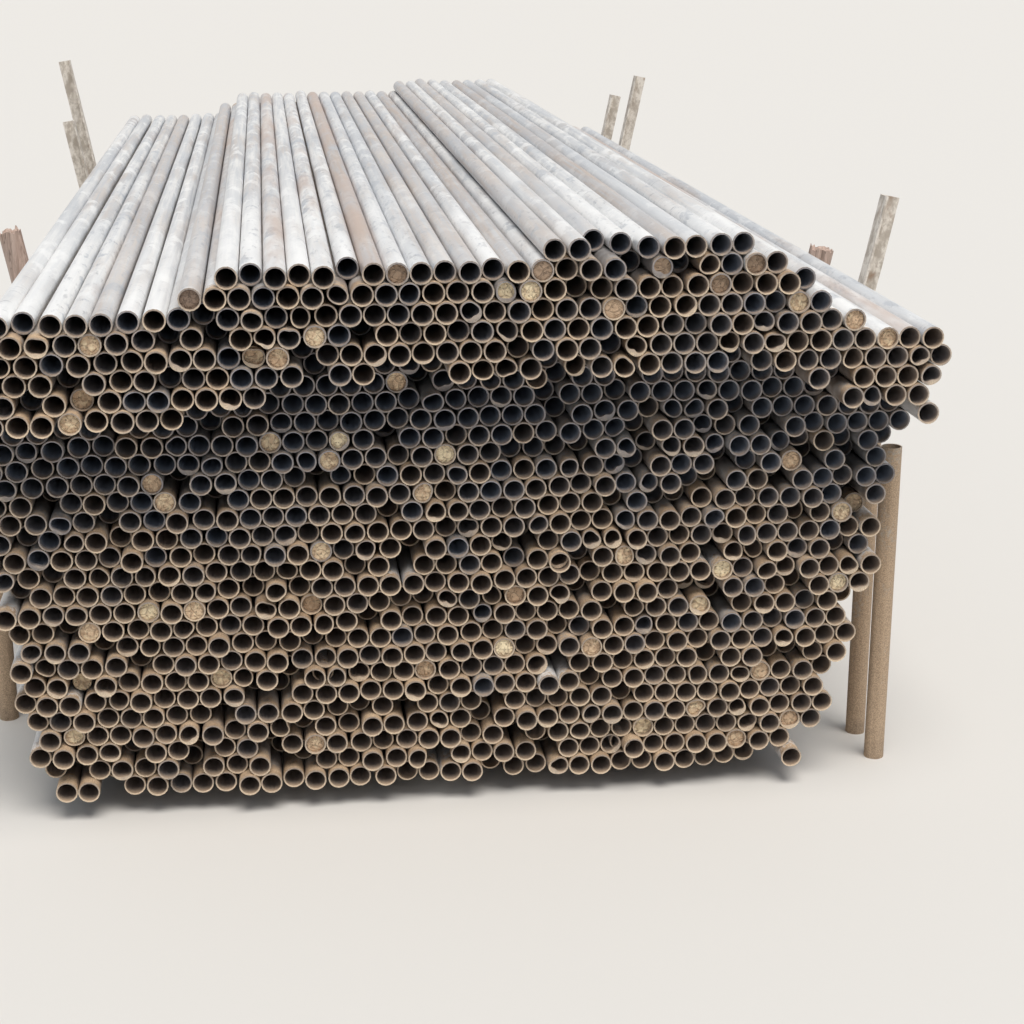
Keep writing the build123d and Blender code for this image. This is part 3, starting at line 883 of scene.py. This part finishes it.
@dataclass
class Leaning:
    """A straight piece that leans against a side of the stack."""

    lean_right: float = 12.0
    lean_left: float = 10.5

    def axes(self, node: str, low: Array, high: Array) -> tuple[float, float, Array, Array, Array]:
        """How a node leans, from its name, which has its side in it, and its box's two corners.

        Returns:
            1 on the right or -1 on the left, the lean in radians, the foot's inner low corner, the
            direction away from the stack square to the piece, and the direction up along it.
        """
        side = 1.0 if "right" in node else -1.0
        lean = math.radians(self.lean_right if side > 0 else self.lean_left)
        foot = np.array([low[0] if side > 0 else high[0], low[1], low[2]])
        across = np.array([math.cos(lean) * side, 0.0, -math.sin(lean)])
        path = np.array([math.sin(lean) * side, 0.0, math.cos(lean)])
        return side, lean, foot, across, path


@dataclass
class Stakes(Leaning):
    """Leaning lengths of equal angle with bruised edges, each as its solid leans."""

    leg: float = 0.050
    thickness: float = 0.006
    stations: int = 56
    bruise: float = 0.0011
    bruise_scale: float = 16.0
    # bruises grow from none at the foot to full at one part in so many of the length
    whole_foot: float = 6.0
    stand_off: float = 0.0004

    def section(self) -> Array:
        """The angle's outline, (20, 2), with its legs along x and y and its heel's outer corner at (0, leg).

        The outer side runs from the low toe round the heel to the high toe in ten points, and the
        inner side comes back in ten more, each opposite one of the outer side.
        """
        t, w, r = self.thickness, self.leg, 0.0007
        inner = w - t
        outer_side = [(r, 0.0), (0.0, r), (0.0, w / 2), (0.0, w - 0.010), (0.0, w - r),
                      (r, w), (0.010, w), (w / 2, w), (w - r, w), (w, w - r)]
        inner_side = [(t - 0.0012, 0.0), (t, 0.0025), (t, w / 2), (t, inner - 0.005), (t + 0.0008, inner - 0.0025),
                      (t + 0.0025, inner - 0.0008), (t + 0.005, inner), (w / 2, inner), (w - 0.0025, inner),
                      (w, inner + 0.0012)]
        return np.array(outer_side + inner_side[::-1])[::-1]

    def build(self, material: Material) -> None:
        """Makes one piece for each stake.

        The flat back leans by the stake's angle from the foot's inner edge, mirrored on the left.
        Each corner starts on the floor, so its height along the stake makes up for the lean.
        """
        ring = self.section()
        sides = len(ring)
        for number, node in enumerate(named("stake")):
            low, high = (np.array(c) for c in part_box(node))
            side, lean, foot, across, path = self.axes(node, low, high)
            start = ring[:, 0] * math.tan(lean)
            end = (high[2] - low[2]) / math.cos(lean)
            share = np.linspace(0.0, 1.0, self.stations)[:, None]
            run = start[None] + (end - start[None]) * share
            flat = ring[:, :1] * across + ring[:, 1:] * np.array([0.0, 1.0, 0.0])
            points = (foot + flat[None] + run[..., None] * path).reshape(-1, 3)
            hold = np.clip(np.repeat(share[:, 0], sides) * self.whole_foot, 0, 1)
            seed = SEED + 50 + 3 * number
            push_x, push_y = (self.bruise * waves(points, self.bruise_scale, seed + axis) * hold for axis in (0, 1))
            points[:, 0] += push_x * side * 0.5 + self.stand_off * side * hold
            points[:, 1] += push_y
            points = np.clip(points, low, high)
            quads = ring_faces(self.stations, sides, loops=False)
            faces = [quads, self.cap(sides, 0), self.cap(sides, len(points) - sides)[:, ::-1]]
            if side > 0:
                faces = [block[:, ::-1] for block in faces]
            piece = mesh_piece(f"{node}_angle", points, faces, smooth_within=35.0)
            finish_piece(piece, material, node)

    @staticmethod
    def cap(sides: int, start: int) -> Array:
        """Closes an end with quads: each outer corner pairs with an inner one counted from the other end."""
        order = np.arange(sides) + start
        low, high = order[: sides // 2], order[::-1][: sides // 2]
        return np.stack([low[:-1], low[1:], high[1:], high[:-1]], -1)


@dataclass
class Stumps(Leaning):
    """Leaning round timbers with fluted sides and splintered tops."""

    diameter: float = 0.070
    sides: int = 48
    rings: int = 70
    splinter: float = 0.024
    top_gap: float = 0.004
    hollow_at: float = 0.03
    hollow_depth: float = 0.006
    closing_rings: int = 4
    waist: float = 0.955
    grain_depth: float = 0.03
    flute_depth: float = 0.015
    # how closely grain, flutes and splinters follow one another round the stump and up it
    grain_scale: float = 3.2
    grain_rise: float = 1.5
    flute_scale: float = 3.0
    splinter_scale: float = 3.0
    splinters_round: float = 2.5
    bowl: float = 1.6

    def build(self, material: Material) -> None:
        """Makes one piece for each stump.

        The radius shrinks by unevenness that runs with the grain; the top falls away in splinters,
        a higher wave count round the rim, and the rings below it close up on the middle.
        """
        turn = around(self.sides)
        share = np.linspace(0.0, 1.0, self.rings)
        level, angle = np.meshgrid(share, turn, indexing="ij")
        close = np.linspace(1.0, 0.0, self.closing_rings + 1)[1:-1, None]
        radius = self.diameter / 2
        for number, node in enumerate(named("stump")):
            low, high = (np.array(c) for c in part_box(node))
            side, lean, foot, across, path = self.axes(node, low, high)
            foot[1] = (low[1] + high[1]) / 2
            length = (high[2] - low[2]) / math.cos(lean) - self.top_gap
            ring = np.stack([np.cos(angle), np.sin(angle)], -1)
            up = level[..., None]
            grain = waves(np.concatenate([ring, up * self.grain_rise], -1), self.grain_scale, SEED + 70 + number)
            flutes = waves(np.concatenate([ring * 3, up], -1), self.flute_scale, SEED + 80 + number)
            reach = radius * (self.waist + self.grain_depth * grain + self.flute_depth * flutes)
            rim = np.stack([np.cos(turn), np.sin(turn), turn * 0], -1) * self.splinters_round
            jag = 0.5 + 0.5 * waves(rim, self.splinter_scale, SEED + 90 + number)
            start = radius * (1 + np.cos(angle)) * math.tan(lean)
            run = start + ((length - self.splinter * jag)[None] - start) * level
            base = length - self.hollow_at
            crown_run = base + (run[-1] - base)[None] * close**self.bowl - self.hollow_depth * (1 - close)
            reach = np.concatenate([reach, reach[-1][None] * close])
            run = np.concatenate([run, crown_run])
            out = radius + reach * np.cos(turn)
            points = foot + out[..., None] * across + run[..., None] * path
            points = points + (reach * np.sin(turn))[..., None] * np.array([0.0, 1.0, 0.0])
            points[0, :, 2] = low[2]
            middle = np.stack([points[-1].mean(0), points[0].mean(0)])
            rings, total = len(points), len(points) * self.sides
            faces = [
                ring_faces(rings, self.sides, loops=False)[:, ::-1],
                fan_faces(total, total - self.sides, self.sides),
                fan_faces(total + 1, 0, self.sides, turned=True),
            ]
            if side < 0:
                faces = [block[:, ::-1] for block in faces]
            points = np.concatenate([points.reshape(-1, 3), middle])
            piece = mesh_piece(f"{node}_timber", points, faces, smooth_within=45.0)
            finish_piece(piece, material, node)


@dataclass
class Studio:
    """The floor, the soft light and the camera."""

    camera_place: tuple[float, float, float] = (-0.3647, -6.2664, 1.8965)
    pitch: float = -16.8
    yaw: float = 7.3
    focal_pixels: float = 1900.0
    frame_pixels: float = 1024.0
    sensor: float = 36.0
    floor_colour: Colour = (0.66, 0.63, 0.59, 1.0)
    floor_roughness: float = 0.9
    floor_half: float = 150.0
    backdrop: Colour = (0.76, 0.74, 0.71, 1.0)
    sun_height: float = 70.0
    sun_turn: float = 14.0
    sun_width: float = 40.0
    sun_strength: float = 3.2
    sun_colour: tuple[float, float, float] = (1.0, 0.97, 0.93)
    dome_strength: float = 0.42
    dome_colour: Colour = (0.74, 0.86, 1.0, 1.0)

    def floor(self) -> None:
        """Lays a plain pale floor."""
        corners = np.array([[-1.0, -1.0, 0.0], [1.0, -1.0, 0.0], [1.0, 1.0, 0.0], [-1.0, 1.0, 0.0]])
        floor = mesh_piece("floor", corners * self.floor_half, [np.array([[0, 1, 2, 3]])])
        material = bpy.data.materials.new("pale_floor")
        material.use_nodes = True
        shader = material.node_tree.nodes["Principled BSDF"]
        shader.inputs["Base Color"].default_value = self.floor_colour
        shader.inputs["Roughness"].default_value = self.floor_roughness
        floor.data.materials.append(material)

    def light(self) -> None:
        """Sets an overcast sky: a wide soft sun high before the face, and a dim bluish dome.

        Rays from the camera, and those that mirror or pass through, see the dome as a pale backdrop.
        """
        world = bpy.data.worlds.new("overcast")
        world.use_nodes = True
        sky = world.node_tree.nodes["Background"]
        t = Tree(world.node_tree)
        rays = t.add("ShaderNodeLightPath").outputs
        mirrored = t.maths("MAXIMUM", rays["Is Glossy Ray"], rays["Is Transmission Ray"])
        seen = t.maths("MAXIMUM", rays["Is Camera Ray"], mirrored)
        pale = t.add("ShaderNodeBackground", {0: self.backdrop, 1: 1.0})
        t.feed(sky, {0: self.dome_colour, 1: self.dome_strength})
        both = t.add("ShaderNodeMixShader", {0: seen, 1: sky.outputs[0], 2: pale.outputs[0]})
        t.feed(world.node_tree.nodes["World Output"], {0: both.outputs[0]})
        bpy.context.scene.world = world
        light = bpy.data.lights.new("soft_sun", "SUN")
        light.energy, light.color = self.sun_strength, self.sun_colour
        light.angle = math.radians(self.sun_width)
        sun = bpy.data.objects.new("soft_sun", light)
        sun.rotation_euler = (math.radians(90.0 - self.sun_height), 0.0, math.radians(self.sun_turn))
        bpy.context.scene.collection.objects.link(sun)

    def camera(self) -> None:
        """Sets the camera where the photo was taken from."""
        data = bpy.data.cameras.new("camera")
        data.sensor_width = self.sensor
        data.sensor_fit = "HORIZONTAL"
        data.lens = self.focal_pixels / self.frame_pixels * self.sensor
        camera = bpy.data.objects.new("camera", data)
        camera.location = self.camera_place
        camera.rotation_euler = (math.radians(90.0 + self.pitch), 0.0, math.radians(-self.yaw))
        bpy.context.scene.collection.objects.link(camera)
        bpy.context.scene.camera = camera

    def build(self) -> None:
        """Sets up the whole studio."""
        self.floor()
        self.light()
        self.camera()
        bpy.context.scene.view_settings.view_transform = "Standard"


def main() -> None:
    """Builds the studio, the finishes and every piece."""
    logging.basicConfig(level=logging.INFO, format="%(name)s: %(message)s")
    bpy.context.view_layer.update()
    Studio().build()
    effects = Effects()
    TubeRows().build(GalvanisedTube().make(effects))
    MudPlugs().build(DriedMud().make(effects))
    Bearers().build(Timber.BEARER.make(effects))
    Posts().build(MuddyPost().make(effects))
    Stakes().build(WeatheredAngle().make(effects))
    Stumps().build(Timber.STUMP.make(effects))


if __name__ == "__main__":
    main()
